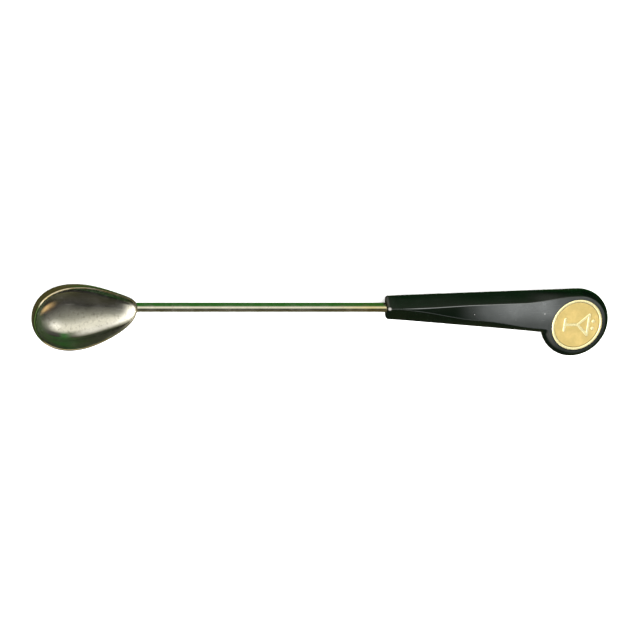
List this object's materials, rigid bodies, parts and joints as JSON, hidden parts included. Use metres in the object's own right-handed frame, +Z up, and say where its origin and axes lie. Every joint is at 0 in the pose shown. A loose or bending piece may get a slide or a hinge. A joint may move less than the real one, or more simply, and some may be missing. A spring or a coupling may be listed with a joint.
{
  "type": "bar spoon",
  "caption": "Long-handled bar spoon: egg-shaped metal bowl on a straight round shank, flat black moulded handle ending in a round lobe with an inlaid metal medallion.",
  "frame": {"origin": "centre of the spoon's footprint, on the surface it lies on, bowl and medallion facing up", "axes": "+X along the shank from the bowl to the handle's lobe, +Z up out of the medallion, +Y away from the side that the lobe swells towards"},
  "size_m": [0.2696, 0.0364, 0.017],
  "materials": {
    "bowl_plate": "worn bright plate",
    "shank_metal": "polished bright plate",
    "solder": "dull silver solder",
    "handle_black": "glossy black moulding",
    "medallion_metal": "pale gold plate, satin field and polished relief",
    "cement": "set epoxy cement"
  },
  "bodies": {
    "root": {"bowl": "bowl_plate", "shank": "shank_metal", "solder_fillet": "solder", "handle": "handle_black", "medallion": "medallion_metal", "shank_cement": "cement", "medallion_cement": "cement"}
  },
  "joints": []
}
